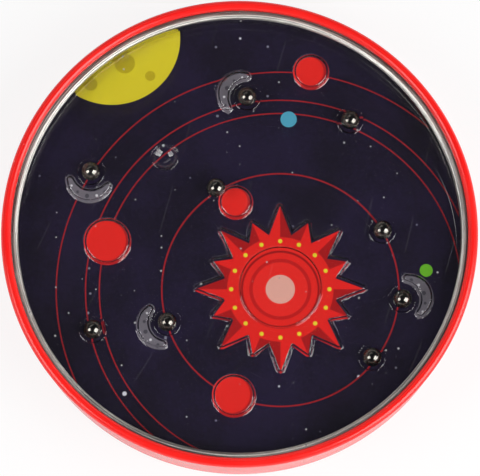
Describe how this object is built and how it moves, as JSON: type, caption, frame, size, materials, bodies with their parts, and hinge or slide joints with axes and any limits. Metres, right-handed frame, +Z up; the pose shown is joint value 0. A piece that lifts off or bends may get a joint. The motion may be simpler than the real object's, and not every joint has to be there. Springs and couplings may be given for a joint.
{
  "type": "dexterity puzzle",
  "caption": "Round flat tin puzzle with a rolled rim and a clear window; loose steel balls roll on a clear formed tray over a printed card and settle in its cups.",
  "frame": {"origin": "middle of the tin's underside, on the surface that it lies on", "axes": "+Z up out of the window, +Y towards the top of the picture, +X to its right"},
  "size_m": [0.11, 0.11, 0.0206],
  "materials": {
    "red_enamel": "glossy red enamel on tin",
    "tinplate": "bare rolled tinplate, bright",
    "clear_window": "clear, polished, lightly scratched",
    "clear_tray": "clear formed sheet",
    "printed_card": "colour print on dark blue",
    "grey_board": "plain grey board",
    "ball_steel": "polished bearing steel"
  },
  "bodies": {
    "tin": {"case_ring": "red_enamel", "base_disc": "red_enamel", "backing_board": "grey_board", "picture_card": "printed_card", "play_tray": "clear_tray", "spacer_ring": "tinplate", "window": "clear_window"},
    "ball_1": {"ball_1": "ball_steel"},
    "ball_2": {"ball_2": "ball_steel"},
    "ball_3": {"ball_3": "ball_steel"},
    "ball_4": {"ball_4": "ball_steel"},
    "ball_5": {"ball_5": "ball_steel"},
    "ball_6": {"ball_6": "ball_steel"},
    "ball_7": {"ball_7": "ball_steel"},
    "ball_8": {"ball_8": "ball_steel"},
    "ball_9": {"ball_9": "ball_steel"}
  },
  "joints": [
    {"name": "ball_1_rock", "type": "hinge", "parent": "tin", "child": "ball_1", "pos_m": [0.00175, 0.03334, 0.0153], "axis": [0, -1, 0], "range_deg": [-45, 45]},
    {"name": "ball_2_rock", "type": "hinge", "parent": "tin", "child": "ball_2", "pos_m": [0.02587, 0.02775, 0.0153], "axis": [0, -1, 0], "range_deg": [-45, 45]},
    {"name": "ball_3_rock", "type": "hinge", "parent": "tin", "child": "ball_3", "pos_m": [-0.03466, 0.01543, 0.0153], "axis": [0, -1, 0], "range_deg": [-45, 45]},
    {"name": "ball_4_roll", "type": "slide", "parent": "tin", "child": "ball_4", "axis": [-0.8381, 0.5455, 0], "range_m": [0, 0.0114]},
    {"name": "ball_5_rock", "type": "hinge", "parent": "tin", "child": "ball_5", "pos_m": [0.0332, 0.00145, 0.0153], "axis": [0, -1, 0], "range_deg": [-45, 45]},
    {"name": "ball_6_rock", "type": "hinge", "parent": "tin", "child": "ball_6", "pos_m": [0.03768, -0.01484, 0.0153], "axis": [0, -1, 0], "range_deg": [-45, 45]},
    {"name": "ball_7_rock", "type": "hinge", "parent": "tin", "child": "ball_7", "pos_m": [0.03055, -0.02849, 0.0153], "axis": [0, -1, 0], "range_deg": [-45, 45]},
    {"name": "ball_8_rock", "type": "hinge", "parent": "tin", "child": "ball_8", "pos_m": [-0.03388, -0.022, 0.0153], "axis": [0, -1, 0], "range_deg": [-45, 45]},
    {"name": "ball_9_rock", "type": "hinge", "parent": "tin", "child": "ball_9", "pos_m": [-0.01671, -0.02027, 0.0153], "axis": [0, -1, 0], "range_deg": [-45, 45]}
  ]
}
